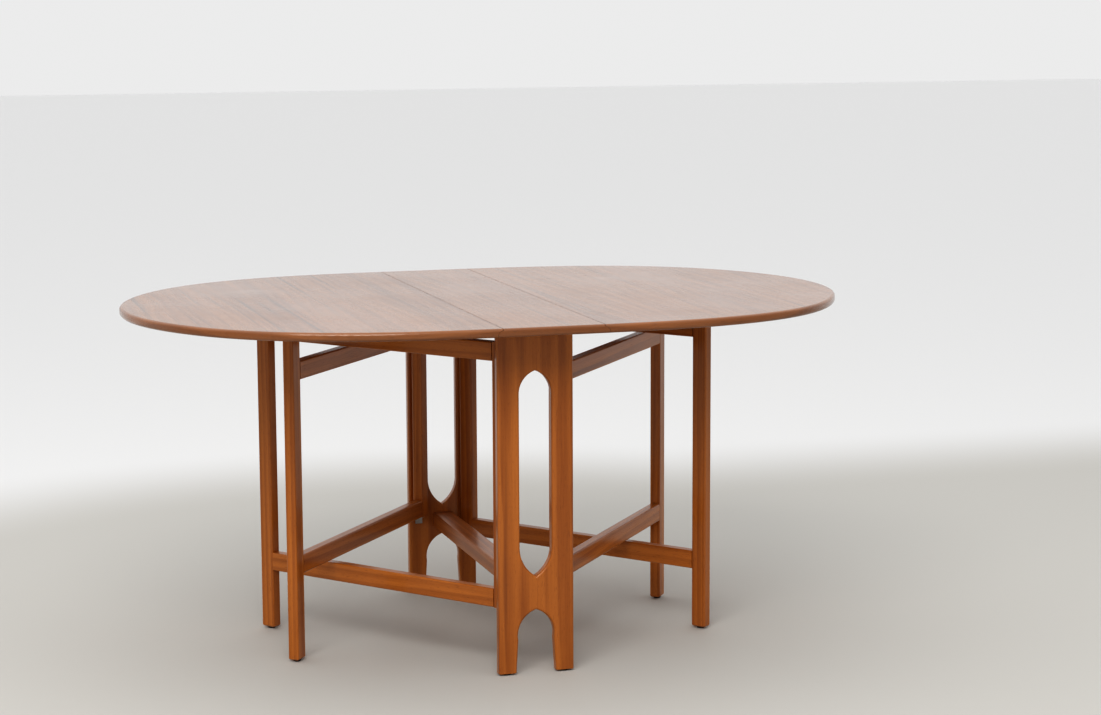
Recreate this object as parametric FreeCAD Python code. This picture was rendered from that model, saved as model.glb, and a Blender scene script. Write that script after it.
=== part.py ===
import FreeCAD, Part
import math
import os

os.makedirs("parts", exist_ok=True)

V = FreeCAD.Vector
UP = V(0, 0, 1)
ALONG_Y = V(0, 1, 0)

# ---- overall sizes -------------------------------------------------------
table_height = 735.0
top_length = 1552.0
top_width = 1064.0
top_thickness = 18.0
centre_board_width = 208.0
outline_power = 2.48
outline_fullness = 0.011
outline_points = 96
lipping_width = 7.0
rim_radius = 6.5

# ---- rule joint and its table hinges -------------------------------------
rule_step = 4.0
rule_radius = 10.5
rule_clearance = 0.6
seam_gap = 1.0
hinge_spacing = 436.0
flap_length = 50.0
flap_thickness = 2.0
centre_flap_reach = 40.0
leaf_flap_reach = 48.0
knuckle_radius = 3.6
knuckle_length = 18.0
knuckle_gap = 0.4
knuckle_room = 0.8
hinge_pin_radius = 1.2
hinge_pin_clearance = 0.05

# ---- end panels ----------------------------------------------------------
panel_width = 160.0
panel_thickness = 22.0
panel_spread = 790.0
panel_edge_radius = 5.0
slot_width = 68.0
slot_bottom = 204.0
slot_top = 628.0
slot_low_spring = 264.0
slot_high_spring = 581.0
arch_base = 84.0
arch_shoulder_width = 76.0
arch_shoulder = 72.0
arch_haunch_width = 56.0
arch_haunch = 114.0
arch_tip = 134.0
glide_height = 4.0
glide_radius = 8.0
glide_stem_radius = 2.0
glide_stem_length = 12.0
foot_pitch = 121.0
dowel_radius = 4.0
dowel_length = 44.0
dowel_heights = (147.0, 190.0, 650.0, 672.0)

# ---- stretchers ----------------------------------------------------------
low_stretcher_width = 46.0
low_stretcher_depth = 34.0
low_stretcher_bottom = 151.0
top_stretcher_width = 36.0
top_stretcher_depth = 36.0
stretcher_tenon_margin = 6.0
stretcher_tenon_length = 11.0

# ---- gates ---------------------------------------------------------------
gate_length = 631.5
gate_open_angle = 38.3
gate_axis_offset = 58.0
gate_axis_inset = 22.5
leg_width = 34.0
leg_thickness = 23.5
leg_radius = 3.5
foot_chamfer = 3.0
rail_depth = 39.5
tenon_thickness = 8.0
tenon_margin = 5.0
tenon_length = 18.0
leg_head_clearance = 0.4
outer_gate_low = 132.5
outer_gate_high = 683.5
nested_gate_low = 184.0
nested_gate_high = 632.5

# ---- pivots and their brackets -------------------------------------------
pivot_radius = 3.0
pivot_clearance = 0.08
pivot_engagement = 20.0
bracket_width = 16.0
bracket_thickness = 2.5
bracket_plate_height = 22.0
bracket_gap = 0.5

# ---- wood screws and leaf stops ------------------------------------------
screw_shank_radius = 1.4
screw_head_radius = 2.8
screw_head_depth = 1.5
screw_length = 12.0
stop_length = 44.0
stop_width = 14.0
stop_depth = 12.0
stop_gap = 0.6

# ---- values worked out from the sizes above ------------------------------
underside = table_height - top_thickness
half_seam = centre_board_width / 2.0
pivot_level = table_height - rule_step - rule_radius
panel_outer = panel_spread / 2.0
panel_inner = panel_outer - panel_thickness
gate_axis_y = panel_inner - gate_axis_inset
reach = top_length


def box(x0, x1, y0, y1, z0, z1):
    return Part.makeBox(x1 - x0, y1 - y0, z1 - z0, V(x0, y0, z0))


def rod(radius, length, base, direction):
    return Part.makeCylinder(radius, length, base, direction)


def prism(points_or_edges, direction):
    wire = Part.Wire(points_or_edges)
    return Part.Face(wire).extrude(direction)


def save(name, shape):
    solids = shape.Solids
    if len(solids) == 1:
        shape = solids[0]
    else:
        shape = Part.makeCompound(solids)
    shape.exportStep("parts/" + name + ".step")


def group(shapes):
    solids = []
    for shape in shapes:
        solids.extend(shape.Solids)
    return Part.makeCompound(solids)


def cut_all(shape, tools):
    if not tools:
        return shape
    return shape.cut(tools)


def upright_edges(shape):
    found = []
    for edge in shape.Edges:
        first = edge.Vertexes[0].Point
        last = edge.Vertexes[-1].Point
        flat = math.hypot(first.x - last.x, first.y - last.y)
        if flat < 1e-6 and abs(first.z - last.z) > 1e-6:
            found.append(edge)
    return found


def edges_along_x(shape, only_height=None):
    found = []
    for edge in shape.Edges:
        first = edge.Vertexes[0].Point
        last = edge.Vertexes[-1].Point
        flat = math.hypot(first.y - last.y, first.z - last.z)
        if flat < 1e-6 and abs(first.x - last.x) > 1e-6:
            if only_height is None or abs(first.z - only_height) < 1e-6:
                found.append(edge)
    return found


def level_edges(shape, height):
    found = []
    for edge in shape.Edges:
        box_of_edge = edge.BoundBox
        if box_of_edge.ZMax - box_of_edge.ZMin < 1e-6:
            if abs(box_of_edge.ZMin - height) < 1e-6:
                found.append(edge)
    return found


# ---- outline of the top --------------------------------------------------
def signed_power(value, power):
    return math.copysign(abs(value) ** power, value)


def outline_point(angle):
    x = signed_power(math.cos(angle), 2.0 / outline_power) * top_length / 2.0
    y = signed_power(math.sin(angle), 2.0 / outline_power) * top_width / 2.0
    turn = math.atan2(2.0 * y / top_width, 2.0 * x / top_length)
    swell = math.cos(6.0 * turn) - math.cos(2.0 * turn)
    scale = 1.0 + outline_fullness * swell
    return V(x * scale, y * scale, 0)


def even_outline():
    dense = []
    count = outline_points * 20
    for index in range(count):
        turn = 2.0 * math.pi * index / count
        x = math.cos(turn)
        y = math.sin(turn)
        size = (abs(x) ** outline_power + abs(y) ** outline_power) ** (1.0 / outline_power)
        ratio_x = x / size
        ratio_y = y / size
        angle = math.atan2(
            signed_power(ratio_y, outline_power / 2.0),
            signed_power(ratio_x, outline_power / 2.0),
        )
        dense.append(outline_point(angle))
    return dense[::20], dense


def inset_outline(inset, level):
    sparse, dense = even_outline()
    count = len(dense)
    points = []
    for index in range(len(sparse)):
        middle = dense[index * 20]
        ahead = dense[(index * 20 + 1) % count]
        behind = dense[(index * 20 - 1) % count]
        along = ahead.sub(behind)
        along.normalize()
        inward = V(-along.y, along.x, 0)
        spot = middle.add(inward.multiply(inset))
        points.append(V(spot.x, spot.y, level))
    curve = Part.BSplineCurve()
    curve.interpolate(Points=points, PeriodicFlag=True)
    return Part.Wire([curve.toShape()])


def top_disc(inset, bottom, top):
    face = Part.Face(inset_outline(inset, bottom))
    return face.extrude(V(0, 0, top - bottom))


# ---- regions of the three boards, split by the rule joints ---------------
def arc_edge(centre_x, centre_z, radius, from_deg, to_deg, y):
    middle_deg = (from_deg + to_deg) / 2.0
    spots = []
    for deg in (from_deg, middle_deg, to_deg):
        turn = math.radians(deg)
        x = centre_x + radius * math.cos(turn)
        z = centre_z + radius * math.sin(turn)
        spots.append(V(x, y, z))
    return Part.Arc(spots[0], spots[1], spots[2]).toShape(), spots[0], spots[2]


def centre_region():
    y = -reach
    right, right_low, right_high = arc_edge(half_seam, pivot_level, rule_radius, 0.0, 90.0, y)
    left, left_high, left_low = arc_edge(-half_seam, pivot_level, rule_radius, 90.0, 180.0, y)
    base_right = V(half_seam + rule_radius, y, underside - 1.0)
    base_left = V(-half_seam - rule_radius, y, underside - 1.0)
    top_right = V(half_seam, y, table_height + 1.0)
    top_left = V(-half_seam, y, table_height + 1.0)
    edges = [
        Part.makeLine(base_right, right_low),
        right,
        Part.makeLine(right_high, top_right),
        Part.makeLine(top_right, top_left),
        Part.makeLine(top_left, left_high),
        left,
        Part.makeLine(left_low, base_left),
        Part.makeLine(base_left, base_right),
    ]
    return prism(edges, V(0, 2.0 * reach, 0))


def leaf_region():
    y = -reach
    radius = rule_radius + rule_clearance
    stop_deg = math.degrees(math.acos(seam_gap / radius))
    cove, cove_low, cove_high = arc_edge(half_seam, pivot_level, radius, 0.0, stop_deg, y)
    base_in = V(half_seam + radius, y, underside - 1.0)
    base_out = V(reach, y, underside - 1.0)
    top_out = V(reach, y, table_height + 1.0)
    top_in = V(half_seam + seam_gap, y, table_height + 1.0)
    edges = [
        Part.makeLine(base_in, cove_low),
        cove,
        Part.makeLine(cove_high, top_in),
        Part.makeLine(top_in, top_out),
        Part.makeLine(top_out, base_out),
        Part.makeLine(base_out, base_in),
    ]
    return prism(edges, V(0, 2.0 * reach, 0))


def half_turn(shape):
    copy = shape.copy()
    copy.rotate(V(0, 0, 0), UP, 180.0)
    return copy


def mirror_x(shape):
    return shape.mirror(V(0, 0, 0), V(1, 0, 0))


# ---- wood screw, head flush at the base point ----------------------------
def wood_screw(base, direction):
    head = Part.makeCone(screw_head_radius, screw_shank_radius, screw_head_depth, base, direction)
    shank = rod(screw_shank_radius, screw_length, base, direction)
    return head.fuse(shank).removeSplitter()


# ---- table hinges of one seam, built for the +X seam ---------------------
hinge_rows = (-hinge_spacing, 0.0, hinge_spacing)
flap_low = underside - flap_thickness
outer_knuckle = (flap_length - knuckle_length) / 2.0
# a hanging leaf carries the roots of its flaps this far in under the pin
swing_room = pivot_level - flap_low + knuckle_room


def knuckle(y0, y1):
    barrel = rod(knuckle_radius, y1 - y0, V(half_seam, y0, pivot_level), ALONG_Y)
    web = box(half_seam - 1.5, half_seam + 1.5, y0, y1, flap_low, pivot_level)
    return barrel.fuse(web)


def hinge_pin(row):
    start = row - flap_length / 2.0
    return rod(hinge_pin_radius, flap_length, V(half_seam, start, pivot_level), ALONG_Y)


def centre_flap(row, screws):
    y0 = row - flap_length / 2.0
    y1 = row + flap_length / 2.0
    mid0 = y0 + outer_knuckle
    mid1 = y1 - outer_knuckle
    inner = half_seam - centre_flap_reach
    plate = box(inner, half_seam - swing_room, y0, y1, flap_low, underside)
    low_leg = box(inner, half_seam + 1.5, y0, mid0, flap_low, underside)
    high_leg = box(inner, half_seam + 1.5, mid1, y1, flap_low, underside)
    flap = plate.fuse([low_leg, high_leg, knuckle(y0, mid0), knuckle(mid1, y1)])
    flap = flap.removeSplitter().cut(hinge_pin(row))
    return flap.cut(screws)


def leaf_flap(row, screws):
    y0 = row - flap_length / 2.0
    y1 = row + flap_length / 2.0
    mid0 = y0 + outer_knuckle + knuckle_gap
    mid1 = y1 - outer_knuckle - knuckle_gap
    outer = half_seam + leaf_flap_reach
    plate = box(half_seam + swing_room, outer, y0, y1, flap_low, underside)
    tongue = box(half_seam - 1.5, outer, mid0, mid1, flap_low, underside)
    flap = plate.fuse([tongue, knuckle(mid0, mid1)]).removeSplitter()
    bore = rod(
        hinge_pin_radius + hinge_pin_clearance,
        flap_length,
        V(half_seam, y0, pivot_level),
        ALONG_Y,
    )
    return flap.cut([bore] + screws)


def flap_screws(row, near, far):
    spots = ((near, -17.0), (near, 17.0), (far, 0.0))
    made = []
    for x, y in spots:
        made.append(wood_screw(V(half_seam + x, row + y, flap_low), UP))
    return made


centre_screws = []
leaf_screws = []
centre_flaps = []
leaf_flaps = []
hinge_pins = []
board_rooms = []
for row in hinge_rows:
    row_centre_screws = flap_screws(row, -16.0, -30.0)
    row_leaf_screws = flap_screws(row, 20.0, 38.0)
    centre_screws.extend(row_centre_screws)
    leaf_screws.extend(row_leaf_screws)
    centre_flaps.append(centre_flap(row, row_centre_screws))
    leaf_flaps.append(leaf_flap(row, row_leaf_screws))
    hinge_pins.append(hinge_pin(row))
    room_x = knuckle_radius + knuckle_room
    room_y = flap_length / 2.0 + knuckle_room
    board_rooms.append(
        box(
            half_seam - swing_room,
            half_seam + room_x,
            row - room_y,
            row + room_y,
            underside - 1.0,
            pivot_level + room_x,
        )
    )
    board_rooms.append(
        box(
            half_seam,
            half_seam + rule_radius + 1.0,
            row - room_y,
            row + room_y,
            underside - 1.0,
            underside + knuckle_room,
        )
    )

# ---- boards and lippings of the top --------------------------------------
full_top = top_disc(0.0, underside, table_height)
core_top = top_disc(lipping_width, underside, table_height)
square_ring = full_top.cut(top_disc(lipping_width, underside - 1.0, table_height + 1.0))
rim_edges = []
for height in (underside, table_height):
    for edge in level_edges(square_ring, height):
        if edge.BoundBox.XLength > top_length - lipping_width:
            rim_edges.append(edge)
lipping_ring = square_ring.makeFillet(rim_radius, rim_edges)

top_stretcher_low = underside - top_stretcher_depth
stretcher_screws = []
for y in (-240.0, 0.0, 240.0):
    base = V(0, y, top_stretcher_low)
    long_screw = Part.makeCone(4.0, 2.0, 3.0, base, UP)
    shank = rod(2.0, top_stretcher_depth + 10.0, base, UP)
    stretcher_screws.append(long_screw.fuse(shank).removeSplitter())

middle = centre_region()
side = leaf_region()
centre_rooms = board_rooms + [half_turn(room) for room in board_rooms]
all_centre_screws = centre_screws + [half_turn(screw) for screw in centre_screws]
centre_board = core_top.common(middle)
centre_board = centre_board.cut(centre_rooms + all_centre_screws + stretcher_screws)
centre_lippings = lipping_ring.common(middle)
front_lipping = centre_lippings.common(box(-reach, reach, -reach, 0, 0, reach))
back_lipping = centre_lippings.common(box(-reach, reach, 0, reach, 0, reach))
right_leaf = core_top.common(side)
right_lipping = lipping_ring.common(side)

# ---- end panels ----------------------------------------------------------
def pointed_side(half, spring, tip, y):
    rise = abs(tip - spring)
    radius = (rise * rise + half * half) / (2.0 * half)
    swing = math.asin(rise / radius) / 2.0
    x = half - radius + radius * math.cos(swing)
    z = spring + math.copysign(radius * math.sin(swing), tip - spring)
    return V(x, y, z)


def mirrored(point):
    return V(-point.x, point.y, point.z)


def arc(first, through, last):
    return Part.Arc(first, through, last).toShape()


def slot_cutter():
    y = 0.0
    half = slot_width / 2.0
    tip_high = V(0, y, slot_top)
    tip_low = V(0, y, slot_bottom)
    high = V(half, y, slot_high_spring)
    low = V(half, y, slot_low_spring)
    through_high = pointed_side(half, slot_high_spring, slot_top, y)
    through_low = pointed_side(half, slot_low_spring, slot_bottom, y)
    edges = [
        Part.makeLine(low, high),
        arc(high, through_high, tip_high),
        arc(tip_high, mirrored(through_high), mirrored(high)),
        Part.makeLine(mirrored(high), mirrored(low)),
        arc(mirrored(low), mirrored(through_low), tip_low),
        arc(tip_low, through_low, low),
    ]
    return prism(edges, V(0, panel_thickness, 0))


def arch_cutter():
    y = 0.0
    base = V(arch_base / 2.0, y, glide_height)
    shoulder = V(arch_shoulder_width / 2.0, y, arch_shoulder)
    haunch = V(arch_haunch_width / 2.0, y, arch_haunch)
    tip = V(0, y, arch_tip)
    edges = [
        Part.makeLine(base, shoulder),
        arc(shoulder, haunch, tip),
        arc(tip, mirrored(haunch), mirrored(shoulder)),
        Part.makeLine(mirrored(shoulder), mirrored(base)),
        Part.makeLine(mirrored(base), base),
    ]
    return prism(edges, V(0, panel_thickness, 0))


def face_edges(shape):
    found = []
    for edge in shape.Edges:
        extent = edge.BoundBox
        on_face = extent.YMax - extent.YMin < 1e-6
        above_feet = extent.ZMax > glide_height + 1.0
        below_top = extent.ZMin < underside - 1.0
        off_glue_line = extent.XMax > 1e-3
        if on_face and above_feet and below_top and off_glue_line:
            found.append(edge)
    return found


blank = box(-panel_width / 2.0, panel_width / 2.0, 0, panel_thickness, glide_height, underside)
right_side = box(0, reach, -reach, reach, 0, reach)
pierced = blank.cut([slot_cutter(), arch_cutter()]).common(right_side)
half_panel = pierced.makeFillet(panel_edge_radius, face_edges(pierced)).common(right_side)
half_panel.translate(V(0, -panel_outer, 0))

panel_middle = -panel_outer + panel_thickness / 2.0
panel_dowels = []
for height in dowel_heights:
    base = V(-dowel_length / 2.0, panel_middle, height)
    panel_dowels.append(rod(dowel_radius, dowel_length, base, V(1, 0, 0)))


def stretcher(width, bottom, top):
    margin = stretcher_tenon_margin
    length = panel_inner + stretcher_tenon_length
    body = box(-width / 2.0, width / 2.0, -panel_inner, panel_inner, bottom, top)
    body = body.makeFillet(3.0, [edge for edge in body.Edges if edge.BoundBox.YLength > width])
    tenon = box(
        -width / 2.0 + margin,
        width / 2.0 - margin,
        -length,
        length,
        bottom + margin,
        top - margin,
    )
    return body.fuse(tenon).removeSplitter(), tenon


low_top = low_stretcher_bottom + low_stretcher_depth
low_stretcher, low_tenon = stretcher(low_stretcher_width, low_stretcher_bottom, low_top)
top_stretcher, top_tenon = stretcher(top_stretcher_width, top_stretcher_low, underside)
top_stretcher = top_stretcher.cut(stretcher_screws)


def glide(x, y):
    button = rod(glide_radius, glide_height, V(x, y, 0), UP)
    button = button.makeFillet(1.2, level_edges(button, 0.0))
    stem = rod(glide_stem_radius, glide_height + glide_stem_length, V(x, y, 0), UP)
    return button.fuse(stem).removeSplitter()


panel_glides = [
    glide(-foot_pitch / 2.0, panel_middle),
    glide(foot_pitch / 2.0, panel_middle),
]


# ---- pivot brackets, pins and screws -------------------------------------
def pivot_set(x, level, upward):
    sign = 1.0 if upward else -1.0
    near = level + sign * bracket_gap
    far = near + sign * bracket_thickness
    plate_end = near + sign * bracket_plate_height
    y_wall = -panel_inner
    y_axis = -gate_axis_y
    half = bracket_width / 2.0
    lug = box(x - half, x + half, y_wall, y_axis, min(near, far), max(near, far))
    nose = rod(half, bracket_thickness, V(x, y_axis, min(near, far)), UP)
    plate = box(
        x - half,
        x + half,
        y_wall,
        y_wall + bracket_thickness,
        min(near, plate_end),
        max(near, plate_end),
    )
    start = level - sign * pivot_engagement
    low = min(start, far)
    pin = rod(pivot_radius, abs(far - start), V(x, y_axis, low), UP)
    screws = []
    for part in (0.45, 0.8):
        height = near + sign * bracket_plate_height * part
        spot = V(x, y_wall + bracket_thickness, height)
        screws.append(wood_screw(spot, V(0, -1, 0)))
    bracket = lug.fuse([nose, plate]).removeSplitter().cut([pin] + screws)
    return bracket, pin, screws


upper_brackets = []
lower_brackets = []
pivot_pins = []
bracket_screws = []
pivot_plan = (
    (-gate_axis_offset, outer_gate_low, outer_gate_high),
    (gate_axis_offset, nested_gate_low, nested_gate_high),
)
for x, low, high in pivot_plan:
    for level, upward, store in ((low, False, lower_brackets), (high, True, upper_brackets)):
        bracket, pin, screws = pivot_set(x, level, upward)
        store.append(bracket)
        pivot_pins.append(pin)
        bracket_screws.extend(screws)

panel_holes = [low_tenon, top_tenon] + panel_glides + bracket_screws + panel_dowels
front_panel_left = mirror_x(half_panel).cut(panel_holes)
front_panel_right = half_panel.cut(panel_holes)


# ---- gates, built along +X from their pivot ------------------------------
def gate_parts(low, high):
    half_width = leg_width / 2.0
    half_thick = leg_thickness / 2.0
    leg_top = underside - leg_head_clearance
    stile = box(-half_width, half_width, -half_thick, half_thick, low, high)
    stile = stile.makeFillet(leg_radius, upright_edges(stile))
    leg = box(
        gate_length - half_width,
        gate_length + half_width,
        -half_thick,
        half_thick,
        glide_height,
        leg_top,
    )
    leg = leg.makeFillet(leg_radius, upright_edges(leg))
    leg = leg.makeChamfer(foot_chamfer, level_edges(leg, glide_height))
    rails = []
    for bottom in (low, high - rail_depth):
        top = bottom + rail_depth
        near = half_width
        far = gate_length - half_width
        rail = box(near, far, -half_thick, half_thick, bottom, top)
        rail = rail.makeFillet(leg_radius, edges_along_x(rail))
        tenon = box(
            near - tenon_length,
            far + tenon_length,
            -tenon_thickness / 2.0,
            tenon_thickness / 2.0,
            bottom + tenon_margin,
            top - tenon_margin,
        )
        stile = stile.cut(tenon)
        leg = leg.cut(tenon)
        rails.append(rail.fuse(tenon).removeSplitter())
    bore = pivot_radius + pivot_clearance
    depth = pivot_engagement + 1.0
    low_bore = rod(bore, depth + 1.0, V(0, 0, low - 1.0), UP)
    high_bore = rod(bore, depth + 1.0, V(0, 0, high - depth), UP)
    stile = stile.cut([low_bore, high_bore])
    rails = [rail.cut([low_bore, high_bore]) for rail in rails]
    foot = glide(gate_length, 0)
    leg = leg.cut(foot)
    return {
        "stile": stile,
        "leg": leg,
        "low_rail": rails[0],
        "top_rail": rails[1],
        "glide": foot,
    }


def placed(shape, x, y, heading):
    copy = shape.copy()
    copy.rotate(V(0, 0, 0), UP, heading)
    copy.translate(V(x, y, 0))
    return copy


outer_gate = gate_parts(outer_gate_low, outer_gate_high)
nested_gate = gate_parts(nested_gate_low, nested_gate_high)
gate_plan = (
    ("gate_a", outer_gate, -gate_axis_offset, -gate_axis_y, 90.0 + gate_open_angle),
    ("gate_b", nested_gate, -gate_axis_offset, gate_axis_y, 270.0 - gate_open_angle),
    ("gate_c", nested_gate, gate_axis_offset, -gate_axis_y, 90.0 - gate_open_angle),
    ("gate_d", outer_gate, gate_axis_offset, gate_axis_y, 270.0 + gate_open_angle),
)
for name, parts, x, y, heading in gate_plan:
    for part_name, shape in parts.items():
        save(name + "_" + part_name, placed(shape, x, y, heading))


# ---- stops under the leaves, just beyond each open leg -------------------
def leaf_stop(x, y, heading, side_sign):
    start = leg_thickness / 2.0 + stop_gap
    block = box(
        gate_length - stop_length / 2.0,
        gate_length + stop_length / 2.0,
        min(side_sign * start, side_sign * (start + stop_width)),
        max(side_sign * start, side_sign * (start + stop_width)),
        underside - stop_depth,
        underside,
    )
    block = block.makeFillet(3.0, upright_edges(block))
    return placed(block, x, y, heading)


left_stops = [
    leaf_stop(-gate_axis_offset, -gate_axis_y, 90.0 + gate_open_angle, 1.0),
    leaf_stop(-gate_axis_offset, gate_axis_y, 270.0 - gate_open_angle, -1.0),
]
right_stops = [half_turn(stop) for stop in left_stops]

# ---- write every piece ---------------------------------------------------
right_leaf = right_leaf.cut(leaf_screws)
save("centre_board", centre_board)
save("centre_lipping_front", front_lipping)
save("centre_lipping_back", back_lipping)
save("right_leaf_board", right_leaf)
save("right_leaf_lipping", right_lipping)
save("left_leaf_board", half_turn(right_leaf))
save("left_leaf_lipping", half_turn(right_lipping))
save("right_leaf_stops", group(right_stops))
save("left_leaf_stops", group(left_stops))
save("front_panel_left", front_panel_left)
save("front_panel_right", front_panel_right)
save("back_panel_left", half_turn(front_panel_right))
save("back_panel_right", half_turn(front_panel_left))
save("low_stretcher", low_stretcher)
save("top_stretcher", top_stretcher)
save("stretcher_screws", group(stretcher_screws))

paired = (
    ("panel_dowels", panel_dowels),
    ("panel_glides", panel_glides),
    ("upper_pivot_brackets", upper_brackets),
    ("lower_pivot_brackets", lower_brackets),
    ("pivot_pins", pivot_pins),
    ("bracket_screws", bracket_screws),
    ("hinge_centre_flaps", centre_flaps),
    ("hinge_pins", hinge_pins),
    ("hinge_centre_screws", centre_screws),
)
for name, shapes in paired:
    save(name, group(shapes + [half_turn(shape) for shape in shapes]))
save("right_leaf_flaps", group(leaf_flaps))
save("left_leaf_flaps", group([half_turn(flap) for flap in leaf_flaps]))
save("right_leaf_screws", group(leaf_screws))
save("left_leaf_screws", group([half_turn(screw) for screw in leaf_screws]))
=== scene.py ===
import math

import bpy
from bpy.props import FloatProperty, FloatVectorProperty, PointerProperty
from bpy.types import Operator, Panel, PropertyGroup
from mathutils import Matrix, Vector


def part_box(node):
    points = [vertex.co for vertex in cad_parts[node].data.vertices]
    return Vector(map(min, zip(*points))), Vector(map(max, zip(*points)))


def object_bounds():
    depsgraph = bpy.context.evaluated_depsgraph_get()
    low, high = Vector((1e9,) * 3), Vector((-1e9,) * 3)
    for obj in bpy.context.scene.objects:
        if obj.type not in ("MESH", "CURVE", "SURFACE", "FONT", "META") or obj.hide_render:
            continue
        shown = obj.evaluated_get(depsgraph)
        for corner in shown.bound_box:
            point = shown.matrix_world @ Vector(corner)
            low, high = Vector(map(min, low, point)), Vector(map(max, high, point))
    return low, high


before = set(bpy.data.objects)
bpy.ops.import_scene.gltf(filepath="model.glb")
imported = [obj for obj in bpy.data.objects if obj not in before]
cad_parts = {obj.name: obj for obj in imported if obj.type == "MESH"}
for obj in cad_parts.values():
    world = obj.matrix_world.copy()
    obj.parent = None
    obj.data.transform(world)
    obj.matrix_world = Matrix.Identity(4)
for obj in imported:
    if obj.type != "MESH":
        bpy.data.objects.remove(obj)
CAD_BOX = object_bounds()

bl_info = {
    "name": "Drop Leaf Table",
    "version": (1, 0, 0),
    "blender": (4, 5, 0),
    "location": "View3D > Sidebar > Drop Leaf Table",
    "description": "Finishes and studio for an oval drop leaf table with crossing gate legs",
    "category": "Add Mesh",
}

TOP_BOARDS = ("centre_board", "left_leaf_board", "right_leaf_board")
RIM_LIPPINGS = (
    "centre_lipping_front",
    "centre_lipping_back",
    "left_leaf_lipping",
    "right_leaf_lipping",
)
PANEL_BOARDS = (
    "front_panel_left",
    "front_panel_right",
    "back_panel_left",
    "back_panel_right",
)
GATES = ("gate_a", "gate_b", "gate_c", "gate_d")
GATE_UPRIGHTS = ("stile", "leg")
GATE_RAILS = ("low_rail", "top_rail")
STRETCHERS = ("low_stretcher", "top_stretcher")
HINGE_LEAVES = ("hinge_centre_flaps", "left_leaf_flaps", "right_leaf_flaps")
PIVOT_BRACKETS = ("upper_pivot_brackets", "lower_pivot_brackets")
STEEL_PINS = ("pivot_pins", "hinge_pins")
WOOD_SCREWS = (
    "stretcher_screws",
    "bracket_screws",
    "hinge_centre_screws",
    "left_leaf_screws",
    "right_leaf_screws",
)
BEECH_PARTS = ("panel_dowels", "left_leaf_stops", "right_leaf_stops")
FOOT_GLIDES = ("panel_glides",) + tuple(gate + "_glide" for gate in GATES)

# How square the oval outline of the top is; 2 would be a plain ellipse.
OUTLINE_POWER = 2.48

# Turns that lay a piece's grain along the texture's X axis.
GRAIN_ALONG_X = (0.0, 0.0, 0.0)
GRAIN_ALONG_Y = (0.0, 0.0, -math.pi / 2)
GRAIN_ALONG_Z = (0.0, math.pi / 2, 0.0)


# ---------------------------------------------------------------- settings


class TopWoodSettings(PropertyGroup):
    """Colours and lacquer of the veneered boards"""

    pale: FloatVectorProperty(
        name="Pale Veneer",
        description="Colour of the soft, early wood of the veneer",
        subtype="COLOR",
        default=(0.29, 0.115, 0.039),
        min=0.0,
        max=1.0,
    )
    deep: FloatVectorProperty(
        name="Deep Veneer",
        description="Colour of the hard, late wood of the veneer",
        subtype="COLOR",
        default=(0.165, 0.057, 0.017),
        min=0.0,
        max=1.0,
    )
    streak: FloatVectorProperty(
        name="Streaks",
        description="Colour of the dark mineral streaks",
        subtype="COLOR",
        default=(0.055, 0.020, 0.009),
        min=0.0,
        max=1.0,
    )
    gloss: FloatProperty(
        name="Lacquer Roughness",
        description="Roughness of the lacquer over the veneer",
        subtype="FACTOR",
        default=0.24,
        min=0.05,
        max=1.0,
    )
    leaf_width: FloatProperty(
        name="Veneer Leaf Width",
        description="Width of one leaf of veneer; neighbours are laid as mirror images",
        subtype="DISTANCE",
        default=0.167,
        min=0.05,
        max=0.5,
    )


class FrameWoodSettings(PropertyGroup):
    """Colours and lacquer of the solid wood under the top"""

    pale: FloatVectorProperty(
        name="Pale Wood",
        description="Colour of the soft, early wood",
        subtype="COLOR",
        default=(0.46, 0.160, 0.027),
        min=0.0,
        max=1.0,
    )
    deep: FloatVectorProperty(
        name="Deep Wood",
        description="Colour of the hard, late wood",
        subtype="COLOR",
        default=(0.25, 0.068, 0.008),
        min=0.0,
        max=1.0,
    )
    streak: FloatVectorProperty(
        name="Pores",
        description="Colour of the pores and thin dark lines",
        subtype="COLOR",
        default=(0.12, 0.028, 0.006),
        min=0.0,
        max=1.0,
    )
    gloss: FloatProperty(
        name="Lacquer Roughness",
        description="Roughness of the lacquer over the solid wood",
        subtype="FACTOR",
        default=0.33,
        min=0.05,
        max=1.0,
    )


class HardwareSettings(PropertyGroup):
    """Colours of the metal, plastic and plain beech parts"""

    brass: FloatVectorProperty(
        name="Hinge Brass",
        description="Colour of the brassed table hinges",
        subtype="COLOR",
        default=(0.60, 0.42, 0.17),
        min=0.0,
        max=1.0,
    )
    steel: FloatVectorProperty(
        name="Zinc Steel",
        description="Colour of the zinc plated brackets, pins and screws",
        subtype="COLOR",
        default=(0.50, 0.50, 0.49),
        min=0.0,
        max=1.0,
    )
    glide: FloatVectorProperty(
        name="Foot Glides",
        description="Colour of the nailed glides under the feet",
        subtype="COLOR",
        default=(0.020, 0.014, 0.011),
        min=0.0,
        max=1.0,
    )
    beech: FloatVectorProperty(
        name="Plain Beech",
        description="Colour of the dowels and stop blocks",
        subtype="COLOR",
        default=(0.50, 0.31, 0.16),
        min=0.0,
        max=1.0,
    )


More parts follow.
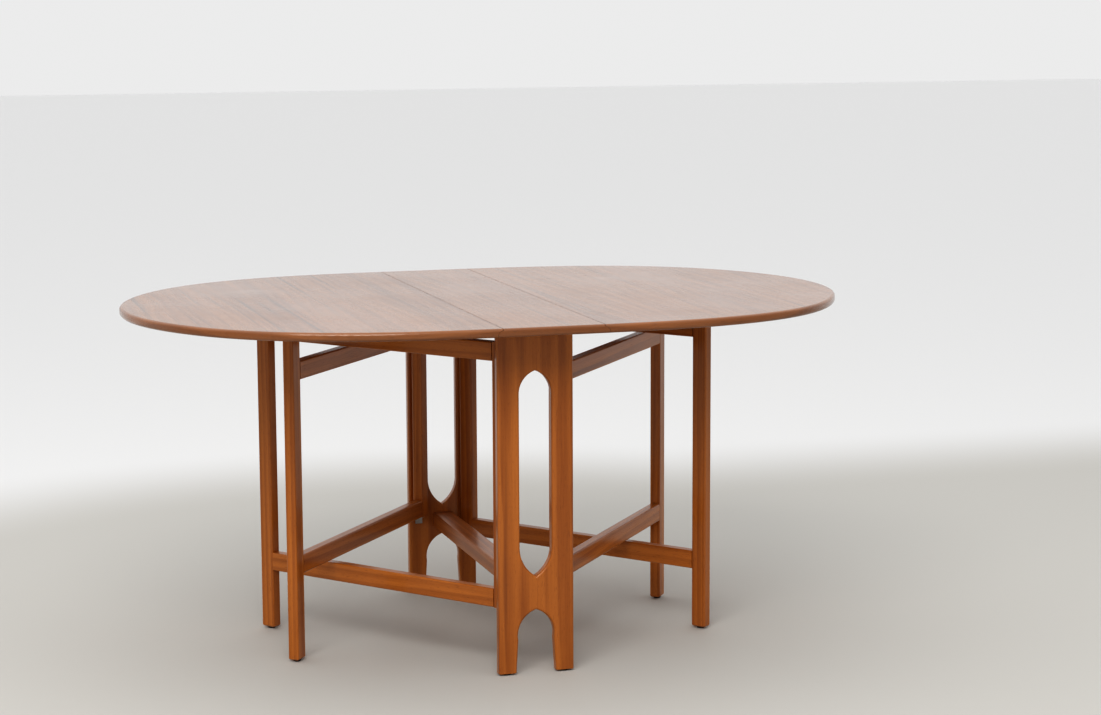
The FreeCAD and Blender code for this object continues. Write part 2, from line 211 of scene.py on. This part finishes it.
class StudioSettings(PropertyGroup):
    """Floor, lights and camera"""

    floor_near: FloatVectorProperty(
        name="Floor Near",
        description="Colour of the floor round the table",
        subtype="COLOR",
        default=(0.50, 0.490, 0.465),
        min=0.0,
        max=1.0,
    )
    floor_far: FloatVectorProperty(
        name="Floor Far",
        description="Colour of the floor away from the table",
        subtype="COLOR",
        default=(0.70, 0.70, 0.70),
        min=0.0,
        max=1.0,
    )
    near_reach: FloatProperty(
        name="Near Reach",
        description="Distance from the table at which the floor starts to pale",
        subtype="DISTANCE",
        default=1.5,
        min=0.1,
    )
    far_reach: FloatProperty(
        name="Far Reach",
        description="Distance from the table at which the floor is at its palest",
        subtype="DISTANCE",
        default=2.3,
        min=0.2,
    )
    wall_light: FloatProperty(
        name="Wall Light",
        description="Brightness of the white wall behind the table",
        default=0.60,
        min=0.0,
    )
    room_light: FloatProperty(
        name="Room Light",
        description="Brightness of the dimmer room on the near side",
        default=0.40,
        min=0.0,
    )
    ceiling_light: FloatProperty(
        name="Ceiling Light",
        description="Brightness that the ceiling adds",
        default=0.50,
        min=0.0,
    )
    key_power: FloatProperty(
        name="Key Light",
        description="Power of the large soft light on the left",
        unit="POWER",
        default=118.0,
        min=0.0,
    )
    lens: FloatProperty(
        name="Lens",
        description="Focal length on a 36 mm wide sensor, in millimetres",
        default=81.77,
        min=10.0,
    )


# ---------------------------------------------------------------- node tools


class Shader:
    """A material's node tree, with short calls for the nodes used here."""

    def __init__(self, name):
        self.material = bpy.data.materials.new(name)
        self.material.use_nodes = True
        self.tree = self.material.node_tree
        self.surface = self.tree.nodes["Principled BSDF"]

    def node(self, kind, **values):
        made = self.tree.nodes.new(kind)
        for key, value in values.items():
            setattr(made, key, value)
        return made

    def link(self, source, target):
        self.tree.links.new(source, target)

    def feed(self, socket, value):
        if isinstance(value, bpy.types.NodeSocket):
            self.link(value, socket)
        else:
            socket.default_value = value

    def place(self):
        """Object coordinates: the table's own frame, in metres."""
        return self.node("ShaderNodeTexCoord").outputs["Object"]

    def mapping(self, vector, shift=(0, 0, 0), turn=(0, 0, 0), scale=(1, 1, 1)):
        made = self.node("ShaderNodeMapping")
        self.link(vector, made.inputs["Vector"])
        made.inputs["Location"].default_value = shift
        made.inputs["Rotation"].default_value = turn
        made.inputs["Scale"].default_value = scale
        return made.outputs["Vector"]

    def noise(self, vector, scale=1.0, detail=2.0, roughness=0.5, distortion=0.0):
        made = self.node("ShaderNodeTexNoise")
        self.link(vector, made.inputs["Vector"])
        made.inputs["Scale"].default_value = scale
        made.inputs["Detail"].default_value = detail
        made.inputs["Roughness"].default_value = roughness
        made.inputs["Distortion"].default_value = distortion
        return made.outputs["Fac"]

    def math(self, operation, first, second=0.0, third=0.0):
        made = self.node("ShaderNodeMath", operation=operation)
        self.feed(made.inputs[0], first)
        self.feed(made.inputs[1], second)
        self.feed(made.inputs[2], third)
        return made.outputs[0]

    def fit(self, value, low, high, new_low=0.0, new_high=1.0, smooth=False):
        """value moved from low..high to new_low..new_high, held at both ends."""
        made = self.node("ShaderNodeMapRange")
        made.interpolation_type = "SMOOTHSTEP" if smooth else "LINEAR"
        self.link(value, made.inputs["Value"])
        made.inputs["From Min"].default_value = low
        made.inputs["From Max"].default_value = high
        made.inputs["To Min"].default_value = new_low
        made.inputs["To Max"].default_value = new_high
        return made.outputs["Result"]

    def mix(self, factor, first, second, blend="MIX"):
        made = self.node("ShaderNodeMix", data_type="RGBA", blend_type=blend)
        self.feed(made.inputs["Factor"], factor)
        self.feed(made.inputs["A"], colour(first))
        self.feed(made.inputs["B"], colour(second))
        return made.outputs["Result"]

    def split(self, vector):
        made = self.node("ShaderNodeSeparateXYZ")
        self.link(vector, made.inputs["Vector"])
        return made.outputs["X"], made.outputs["Y"], made.outputs["Z"]

    def join(self, x, y, z):
        made = self.node("ShaderNodeCombineXYZ")
        for socket, value in zip(made.inputs, (x, y, z)):
            self.feed(socket, value)
        return made.outputs["Vector"]

    def bump(self, height, distance, strength=1.0, under=None):
        made = self.node("ShaderNodeBump")
        self.link(height, made.inputs["Height"])
        made.inputs["Distance"].default_value = distance
        made.inputs["Strength"].default_value = strength
        if under is not None:
            self.link(under, made.inputs["Normal"])
        return made.outputs["Normal"]

    def edge_wear(self, radius):
        """1 along rounded and sharp edges, 0 on flats."""
        rounded = self.node("ShaderNodeBevel", samples=4)
        rounded.inputs["Radius"].default_value = radius
        flat = self.node("ShaderNodeNewGeometry").outputs["Normal"]
        dot = self.node("ShaderNodeVectorMath", operation="DOT_PRODUCT")
        self.link(rounded.outputs["Normal"], dot.inputs[0])
        self.link(flat, dot.inputs[1])
        return self.fit(dot.outputs["Value"], 0.995, 0.90)


def colour(value):
    """An RGB triple as RGBA; sockets pass through."""
    if isinstance(value, bpy.types.NodeSocket) or len(value) == 4:
        return value
    return (*value, 1.0)


def dress(node_name, material):
    """Gives a CAD node its material, with smooth shading kept as packed."""
    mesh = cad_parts[node_name].data
    mesh.materials.clear()
    mesh.materials.append(material)


# ---------------------------------------------------------------- wood


def straight_grain(shader, turn, seed):
    """Coordinates with X along the grain and Y, Z across it."""
    return shader.mapping(shader.place(), shift=(seed * 3.1, seed * 0.73, seed * 1.37), turn=turn)


def rim_grain(shader, seed):
    """Coordinates with X round the rim, Y out from the middle and Z up."""
    x, y, z = shader.split(shader.place())
    half_length = CAD_BOX[1][0]
    half_width = CAD_BOX[1][1]
    turn = shader.math(
        "ARCTAN2",
        shader.math("DIVIDE", y, half_width),
        shader.math("DIVIDE", x, half_length),
    )
    round_rim = shader.math("MULTIPLY", turn, (half_length + half_width) / 2)
    along = shader.math("ABSOLUTE", shader.math("DIVIDE", x, half_length))
    along = shader.math("POWER", along, OUTLINE_POWER)
    across = shader.math("ABSOLUTE", shader.math("DIVIDE", y, half_width))
    across = shader.math("POWER", across, OUTLINE_POWER)
    outward = shader.math("POWER", shader.math("ADD", along, across), 1.0 / OUTLINE_POWER)
    outward = shader.math("MULTIPLY", outward, (half_length + half_width) / 2)
    return shader.join(shader.math("ADD", round_rim, seed), outward, z)


def book_matched(shader, vector, leaf_width):
    """Folds the coordinates across the grain, so that neighbouring leaves mirror each other."""
    along, across, depth = shader.split(vector)
    folded = shader.math("PINGPONG", across, leaf_width)
    drift = shader.math("MULTIPLY", across, 0.06)
    return shader.join(along, folded, shader.math("ADD", depth, drift))


def wood(name, settings, vector_of, ring_pitch, figure, streaks, pores, coat, index=1.36):
    """A lacquered wood: growth rings, fibre, pores, dark streaks, rubbed edges and handled lacquer."""
    shader = Shader(name)
    grain = vector_of(shader)

    wander = shader.noise(shader.mapping(grain, scale=(0.9, 5.0, 5.0)), scale=1.0, detail=3.0, roughness=0.55)
    sway = shader.noise(shader.mapping(grain, scale=(0.35, 1.7, 1.7)), scale=1.0, detail=1.0)
    along, across, depth = shader.split(grain)
    radius = shader.math("ADD", across, shader.math("MULTIPLY", depth, 0.6))
    radius = shader.math("ADD", radius, shader.math("MULTIPLY", wander, figure))
    radius = shader.math("ADD", radius, shader.math("MULTIPLY", sway, figure * 2.5))
    ring = shader.math("FRACT", shader.math("DIVIDE", radius, ring_pitch))
    rise = shader.fit(ring, 0.0, 0.82, smooth=True)
    fall = shader.fit(ring, 0.82, 1.0, 1.0, 0.0, smooth=True)
    ring = shader.math("MULTIPLY", rise, fall)

    fibre = shader.noise(
        shader.mapping(grain, scale=(9.0, 620.0, 620.0)),
        scale=1.0,
        detail=4.0,
        roughness=0.6,
    )
    bands = shader.noise(shader.mapping(grain, scale=(0.8, 26.0, 26.0)), scale=1.0, detail=4.0, roughness=0.6)
    clouds = shader.noise(shader.mapping(grain, scale=(2.2, 7.0, 7.0)), scale=1.0, detail=3.0, roughness=0.5)
    pore = shader.noise(
        shader.mapping(grain, scale=(75.0, 1500.0, 1500.0)),
        scale=1.0,
        detail=1.0,
        roughness=0.4,
    )
    streak = shader.noise(
        shader.mapping(grain, shift=(7, 3, 1), scale=(0.6, 85.0, 30.0)),
        scale=1.0,
        detail=3.0,
        roughness=0.6,
        distortion=0.2,
    )

    tone = shader.math("MULTIPLY", ring, 0.42)
    tone = shader.math("ADD", tone, shader.fit(bands, 0.28, 0.72, -0.32, 0.42))
    tone = shader.math("ADD", tone, shader.fit(clouds, 0.3, 0.7, -0.12, 0.28))
    tone = shader.math("ADD", tone, shader.fit(fibre, 0.25, 0.75, -0.18, 0.22))
    tone = shader.fit(tone, 0.0, 1.0)

    paint = shader.mix(tone, settings.pale, settings.deep)
    streak_mask = shader.fit(streak, 0.60, 0.72, 0.0, streaks, smooth=True)
    paint = shader.mix(streak_mask, paint, settings.streak)
    pore_mask = shader.fit(pore, 0.64, 0.74, 0.0, pores)
    paint = shader.mix(pore_mask, paint, settings.streak)
    rubbed = shader.math(
        "MULTIPLY",
        shader.edge_wear(radius=0.0025),
        shader.fit(clouds, 0.35, 0.65, 0.10, 0.32),
    )
    paint = shader.mix(rubbed, paint, settings.pale)
    shader.link(paint, shader.surface.inputs["Base Color"])

    handling = shader.noise(
        shader.mapping(shader.place(), scale=(3.0, 3.0, 3.0)),
        scale=1.0,
        detail=5.0,
        roughness=0.62,
    )
    polish = shader.fit(handling, 0.3, 0.7, settings.gloss - 0.05, settings.gloss + 0.08)
    polish = shader.math("ADD", polish, shader.fit(fibre, 0.3, 0.7, -0.02, 0.05))
    polish = shader.math("ADD", polish, shader.math("MULTIPLY", pore_mask, 0.18))
    shader.link(polish, shader.surface.inputs["Roughness"])

    raised = shader.math("MULTIPLY", fibre, 0.35)
    relief = shader.math("SUBTRACT", raised, shader.math("MULTIPLY", pore_mask, 0.9))
    fine = shader.bump(relief, distance=0.00009, strength=0.7)
    ripple = shader.noise(shader.mapping(shader.place(), scale=(38.0, 38.0, 38.0)), scale=1.0, detail=2.0)
    shader.link(
        shader.bump(ripple, distance=0.00012, strength=0.35, under=fine),
        shader.surface.inputs["Normal"],
    )

    shader.surface.inputs["IOR"].default_value = index
    shader.surface.inputs["Coat Weight"].default_value = coat
    shader.surface.inputs["Coat Roughness"].default_value = 0.16
    shader.surface.inputs["Coat IOR"].default_value = 1.5
    return shader.material


# ---------------------------------------------------------------- other finishes


def metal(name, tint, roughness, brushed):
    """Plated metal with fine scratches and dull patches."""
    shader = Shader(name)
    place = shader.place()
    scratches = shader.noise(shader.mapping(place, scale=brushed), scale=1.0, detail=3.0, roughness=0.7)
    patches = shader.noise(
        shader.mapping(place, scale=(60.0, 60.0, 60.0)),
        scale=1.0,
        detail=4.0,
        roughness=0.6,
    )
    dull = tuple(part * 0.62 for part in tint)
    tone = shader.math("ADD", shader.fit(patches, 0.35, 0.7), shader.fit(scratches, 0.3, 0.7, -0.2, 0.2))
    shader.link(shader.mix(shader.fit(tone, 0.0, 1.0), tint, dull), shader.surface.inputs["Base Color"])
    shine = shader.fit(patches, 0.3, 0.7, roughness - 0.06, roughness + 0.16)
    shine = shader.math("ADD", shine, shader.fit(scratches, 0.3, 0.7, -0.04, 0.06))
    shader.link(shine, shader.surface.inputs["Roughness"])
    shader.link(shader.bump(scratches, distance=0.00004, strength=0.5), shader.surface.inputs["Normal"])
    shader.surface.inputs["Metallic"].default_value = 1.0
    return shader.material


def glide_plastic(tint):
    """Dark moulded glide, scuffed by the floor."""
    shader = Shader("foot_glide_plastic")
    place = shader.place()
    grime = shader.noise(
        shader.mapping(place, scale=(180.0, 180.0, 180.0)),
        scale=1.0,
        detail=4.0,
        roughness=0.6,
    )
    scuffed = tuple(part * 3.2 for part in tint)
    shader.link(shader.mix(shader.fit(grime, 0.45, 0.75), tint, scuffed), shader.surface.inputs["Base Color"])
    shader.link(shader.fit(grime, 0.3, 0.7, 0.42, 0.66), shader.surface.inputs["Roughness"])
    shader.link(shader.bump(grime, distance=0.00008, strength=0.5), shader.surface.inputs["Normal"])
    return shader.material


def beech(name, tint, turn):
    """Bare beech with its short dark flecks."""
    shader = Shader(name)
    grain = straight_grain(shader, turn, seed=4.0)
    fibre = shader.noise(
        shader.mapping(grain, scale=(12.0, 500.0, 500.0)),
        scale=1.0,
        detail=4.0,
        roughness=0.6,
    )
    fleck = shader.noise(shader.mapping(grain, scale=(260.0, 1300.0, 1300.0)), scale=1.0, detail=1.0)
    deep = tuple(part * 0.62 for part in tint)
    paint = shader.mix(shader.fit(fibre, 0.3, 0.7), tint, deep)
    paint = shader.mix(shader.fit(fleck, 0.60, 0.70, 0.0, 0.6), paint, tuple(part * 0.35 for part in tint))
    shader.link(paint, shader.surface.inputs["Base Color"])
    shader.link(shader.fit(fibre, 0.3, 0.7, 0.55, 0.72), shader.surface.inputs["Roughness"])
    shader.link(shader.bump(fibre, distance=0.00012, strength=0.6), shader.surface.inputs["Normal"])
    return shader.material


# ---------------------------------------------------------------- operators


class TABLE_OT_top_boards(Operator):
    """Veneers the centre board and both leaves, grain along the seams"""

    bl_idname = "table.top_boards"
    bl_label = "Veneer the Top Boards"

    def execute(self, context):
        settings = context.scene.table_top_wood
        for index, name in enumerate(TOP_BOARDS):

            def veneer(shader, seed=1.7 + 2.9 * index):
                grain = straight_grain(shader, GRAIN_ALONG_Y, seed)
                return book_matched(shader, grain, settings.leaf_width)

            board = wood(
                name + "_veneer",
                settings,
                veneer,
                ring_pitch=0.021,
                figure=0.10,
                streaks=0.85,
                pores=0.75,
                coat=0.7,
                index=1.5,
            )
            dress(name, board)
        return {"FINISHED"}


class TABLE_OT_rim_lippings(Operator):
    """Finishes the solid wood lippings round the rim"""

    bl_idname = "table.rim_lippings"
    bl_label = "Finish the Rim Lippings"

    def execute(self, context):
        settings = context.scene.table_top_wood
        lipping = wood(
            "rim_lipping_wood",
            settings,
            lambda shader: rim_grain(shader, seed=2.3),
            ring_pitch=0.016,
            figure=0.012,
            streaks=0.30,
            pores=0.5,
            coat=0.7,
        )
        for name in RIM_LIPPINGS:
            dress(name, lipping)
        return {"FINISHED"}


class TABLE_OT_end_panels(Operator):
    """Finishes the four upright boards of the two end panels"""

    bl_idname = "table.end_panels"
    bl_label = "Finish the End Panels"

    def execute(self, context):
        settings = context.scene.table_frame_wood
        for index, name in enumerate(PANEL_BOARDS):
            seed = 5.3 + 1.9 * index
            board = wood(
                name + "_wood",
                settings,
                lambda shader, seed=seed: straight_grain(shader, GRAIN_ALONG_Z, seed),
                ring_pitch=0.019,
                figure=0.035,
                streaks=0.30,
                pores=0.5,
                coat=0.45,
            )
            dress(name, board)
        return {"FINISHED"}


class TABLE_OT_gate_uprights(Operator):
    """Finishes the legs and hinge stiles of the four gates"""

    bl_idname = "table.gate_uprights"
    bl_label = "Finish the Gate Legs and Stiles"

    def execute(self, context):
        settings = context.scene.table_frame_wood
        for index, gate in enumerate(GATES):
            seed = 11.1 + 2.3 * index
            upright = wood(
                gate + "_upright_wood",
                settings,
                lambda shader, seed=seed: straight_grain(shader, GRAIN_ALONG_Z, seed),
                ring_pitch=0.015,
                figure=0.03,
                streaks=0.30,
                pores=0.5,
                coat=0.4,
            )
            for part in GATE_UPRIGHTS:
                dress(gate + "_" + part, upright)
        return {"FINISHED"}


class TABLE_OT_gate_rails(Operator):
    """Finishes the two rails of each gate, grain along the rail"""

    bl_idname = "table.gate_rails"
    bl_label = "Finish the Gate Rails"

    def execute(self, context):
        settings = context.scene.table_frame_wood
        for index, gate in enumerate(GATES):
            stile_low, stile_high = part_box(gate + "_stile")
            leg_low, leg_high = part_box(gate + "_leg")
            run = (leg_low + leg_high) / 2 - (stile_low + stile_high) / 2
            heading = math.atan2(run.y, run.x)
            seed = 23.7 + 1.3 * index
            rail = wood(
                gate + "_rail_wood",
                settings,
                lambda shader, seed=seed, heading=heading: straight_grain(shader, (0.0, 0.0, -heading), seed),
                ring_pitch=0.013,
                figure=0.03,
                streaks=0.35,
                pores=0.5,
                coat=0.35,
            )
            for part in GATE_RAILS:
                dress(gate + "_" + part, rail)
        return {"FINISHED"}


class TABLE_OT_stretchers(Operator):
    """Finishes the low and top stretchers between the end panels"""

    bl_idname = "table.stretchers"
    bl_label = "Finish the Stretchers"

    def execute(self, context):
        settings = context.scene.table_frame_wood
        bar = wood(
            "stretcher_wood",
            settings,
            lambda shader: straight_grain(shader, GRAIN_ALONG_Y, seed=31.9),
            ring_pitch=0.016,
            figure=0.03,
            streaks=0.35,
            pores=0.5,
            coat=0.35,
        )
        for name in STRETCHERS:
            dress(name, bar)
        return {"FINISHED"}


class TABLE_OT_table_hinges(Operator):
    """Finishes the brassed flaps of the six table hinges"""

    bl_idname = "table.table_hinges"
    bl_label = "Finish the Table Hinges"

    def execute(self, context):
        settings = context.scene.table_hardware
        brass = metal("hinge_brass", tuple(settings.brass), roughness=0.34, brushed=(40.0, 900.0, 900.0))
        for name in HINGE_LEAVES:
            dress(name, brass)
        return {"FINISHED"}


class TABLE_OT_pivots(Operator):
    """Finishes the pivot brackets and all steel pins"""

    bl_idname = "table.pivots"
    bl_label = "Finish the Pivots"

    def execute(self, context):
        settings = context.scene.table_hardware
        zinc = metal("bracket_zinc", tuple(settings.steel), roughness=0.42, brushed=(700.0, 700.0, 50.0))
        bright = metal(
            "pin_steel",
            tuple(part * 1.15 for part in settings.steel),
            roughness=0.26,
            brushed=(900.0, 900.0, 40.0),
        )
        for name in PIVOT_BRACKETS:
            dress(name, zinc)
        for name in STEEL_PINS:
            dress(name, bright)
        return {"FINISHED"}


class TABLE_OT_screws(Operator):
    """Finishes the wood screws"""

    bl_idname = "table.screws"
    bl_label = "Finish the Screws"

    def execute(self, context):
        settings = context.scene.table_hardware
        zinc = metal("screw_zinc", tuple(settings.steel), roughness=0.36, brushed=(1200.0, 1200.0, 1200.0))
        for name in WOOD_SCREWS:
            dress(name, zinc)
        return {"FINISHED"}


class TABLE_OT_beech_parts(Operator):
    """Finishes the beech dowels and leaf stops"""

    bl_idname = "table.beech_parts"
    bl_label = "Finish the Beech Parts"

    def execute(self, context):
        settings = context.scene.table_hardware
        bare = beech("bare_beech", tuple(settings.beech), GRAIN_ALONG_X)
        for name in BEECH_PARTS:
            dress(name, bare)
        return {"FINISHED"}


class TABLE_OT_foot_glides(Operator):
    """Finishes the nailed glides under the feet"""

    bl_idname = "table.foot_glides"
    bl_label = "Finish the Foot Glides"

    def execute(self, context):
        plastic = glide_plastic(tuple(context.scene.table_hardware.glide))
        for name in FOOT_GLIDES:
            dress(name, plastic)
        return {"FINISHED"}


# ---------------------------------------------------------------- stage


def studio_floor(settings):
    """A plain pale floor that pales further away from the table."""
    shader = Shader("studio_floor")
    x, y, _ = shader.split(shader.place())
    squares = shader.math("ADD", shader.math("MULTIPLY", x, x), shader.math("MULTIPLY", y, y))
    distance = shader.math("SQRT", squares)
    distance = shader.math("MINIMUM", distance, shader.math("ADD", y, 0.3))
    blend = shader.fit(distance, settings.near_reach, settings.far_reach, smooth=True)
    paint = shader.mix(blend, tuple(settings.floor_near), tuple(settings.floor_far))
    shader.link(paint, shader.surface.inputs["Base Color"])
    shader.surface.inputs["Roughness"].default_value = 0.75
    shader.surface.inputs["Specular IOR Level"].default_value = 0.2
    half = 30.0
    mesh = bpy.data.meshes.new("studio_floor")
    corners = [(-half, -half, 0), (half, -half, 0), (half, half, 0), (-half, half, 0)]
    mesh.from_pydata(corners, [], [(0, 1, 2, 3)])
    mesh.materials.append(shader.material)
    floor = bpy.data.objects.new("studio_floor", mesh)
    bpy.context.scene.collection.objects.link(floor)


def white_room(settings):
    """Even light by direction: bright wall behind, bright ceiling, dimmer room in front."""
    room = bpy.data.worlds.new("white_room")
    room.use_nodes = True
    tree = room.node_tree
    place = tree.nodes.new("ShaderNodeTexCoord").outputs["Generated"]
    split = tree.nodes.new("ShaderNodeSeparateXYZ")
    tree.links.new(place, split.inputs["Vector"])
    total = None
    for axis, low, high, dim, bright in (
        ("Y", -0.15, 0.6, settings.room_light, settings.wall_light),
        ("Z", 0.25, 0.95, 0.0, settings.ceiling_light),
    ):
        step = tree.nodes.new("ShaderNodeMapRange")
        step.interpolation_type = "SMOOTHSTEP"
        tree.links.new(split.outputs[axis], step.inputs["Value"])
        for socket, value in zip(("From Min", "From Max", "To Min", "To Max"), (low, high, dim, bright)):
            step.inputs[socket].default_value = value
        if total is None:
            total = step.outputs["Result"]
        else:
            both = tree.nodes.new("ShaderNodeMath")
            tree.links.new(total, both.inputs[0])
            tree.links.new(step.outputs["Result"], both.inputs[1])
            total = both.outputs[0]
    tree.links.new(total, tree.nodes["Background"].inputs["Strength"])
    tree.nodes["Background"].inputs["Color"].default_value = (1.0, 1.0, 1.0, 1.0)
    return room


def aim(place, target):
    """A rotation that points an object's -Z at the target."""
    return (Vector(target) - Vector(place)).to_track_quat("-Z", "Y").to_euler()


def soft_light(name, place, target, width, height, power, tint):
    light = bpy.data.lights.new(name, "AREA")
    light.shape = "RECTANGLE"
    light.size = width
    light.size_y = height
    light.energy = power
    light.color = tint
    lamp = bpy.data.objects.new(name, light)
    lamp.location = place
    lamp.rotation_euler = aim(place, target)
    bpy.context.scene.collection.objects.link(lamp)


class TABLE_OT_studio(Operator):
    """Sets the floor, the soft lights, the white room and the camera"""

    bl_idname = "table.studio"
    bl_label = "Set the Studio"

    def execute(self, context):
        scene = context.scene
        settings = scene.table_studio
        studio_floor(settings)

        scene.world = white_room(settings)

        middle = (0.0, 0.0, 0.4)
        soft_light(
            "key_window",
            (-1.9, -3.8, 3.9),
            middle,
            width=3.4,
            height=2.6,
            power=settings.key_power,
            tint=(1.0, 0.985, 0.96),
        )

        view = bpy.data.cameras.new("studio_camera")
        view.sensor_fit = "HORIZONTAL"
        view.sensor_width = 36.0
        view.lens = settings.lens
        view.clip_end = 200.0
        camera = bpy.data.objects.new("studio_camera", view)
        heading, dip, roll = 0.29332, 0.1452, -0.00439
        level = math.cos(dip)
        forward = Vector((math.sin(heading) * level, math.cos(heading) * level, -math.sin(dip)))
        right = Vector((math.cos(heading), -math.sin(heading), 0.0))
        up = right.cross(forward)
        level_right = right * math.cos(roll) + up * math.sin(roll)
        level_up = up * math.cos(roll) - right * math.sin(roll)
        turn = Matrix((level_right, level_up, -forward)).transposed()
        camera.matrix_world = Matrix.Translation((-1.41091, -5.17241, 1.38313)) @ turn.to_4x4()
        scene.collection.objects.link(camera)
        scene.camera = camera
        scene.view_settings.view_transform = "Standard"
        scene.view_settings.look = "High Contrast"
        return {"FINISHED"}


class TABLE_PT_sidebar(Panel):
    """Lists the table's finishes and the studio"""

    bl_label = "Drop Leaf Table"
    bl_idname = "TABLE_PT_sidebar"
    bl_space_type = "VIEW_3D"
    bl_region_type = "UI"
    bl_category = "Drop Leaf Table"

    def draw(self, context):
        layout = self.layout
        for operator in PIECE_OPERATORS:
            layout.operator(operator.bl_idname)
        for group in (
            context.scene.table_top_wood,
            context.scene.table_frame_wood,
            context.scene.table_hardware,
            context.scene.table_studio,
        ):
            box = layout.box()
            for name in group.__annotations__:
                box.prop(group, name)


PIECE_OPERATORS = (
    TABLE_OT_top_boards,
    TABLE_OT_rim_lippings,
    TABLE_OT_end_panels,
    TABLE_OT_gate_uprights,
    TABLE_OT_gate_rails,
    TABLE_OT_stretchers,
    TABLE_OT_table_hinges,
    TABLE_OT_pivots,
    TABLE_OT_screws,
    TABLE_OT_beech_parts,
    TABLE_OT_foot_glides,
    TABLE_OT_studio,
)
SETTING_GROUPS = (
    ("table_top_wood", TopWoodSettings),
    ("table_frame_wood", FrameWoodSettings),
    ("table_hardware", HardwareSettings),
    ("table_studio", StudioSettings),
)


def register():
    for name, group in SETTING_GROUPS:
        bpy.utils.register_class(group)
        setattr(bpy.types.Scene, name, PointerProperty(type=group))
    for operator in PIECE_OPERATORS:
        bpy.utils.register_class(operator)
    bpy.utils.register_class(TABLE_PT_sidebar)


def unregister():
    bpy.utils.unregister_class(TABLE_PT_sidebar)
    for operator in reversed(PIECE_OPERATORS):
        bpy.utils.unregister_class(operator)
    for name, group in reversed(SETTING_GROUPS):
        delattr(bpy.types.Scene, name)
        bpy.utils.unregister_class(group)


def main():
    register()
    for operator in PIECE_OPERATORS:
        group, name = operator.bl_idname.split(".")
        getattr(getattr(bpy.ops, group), name)()


if __name__ == "__main__":
    main()
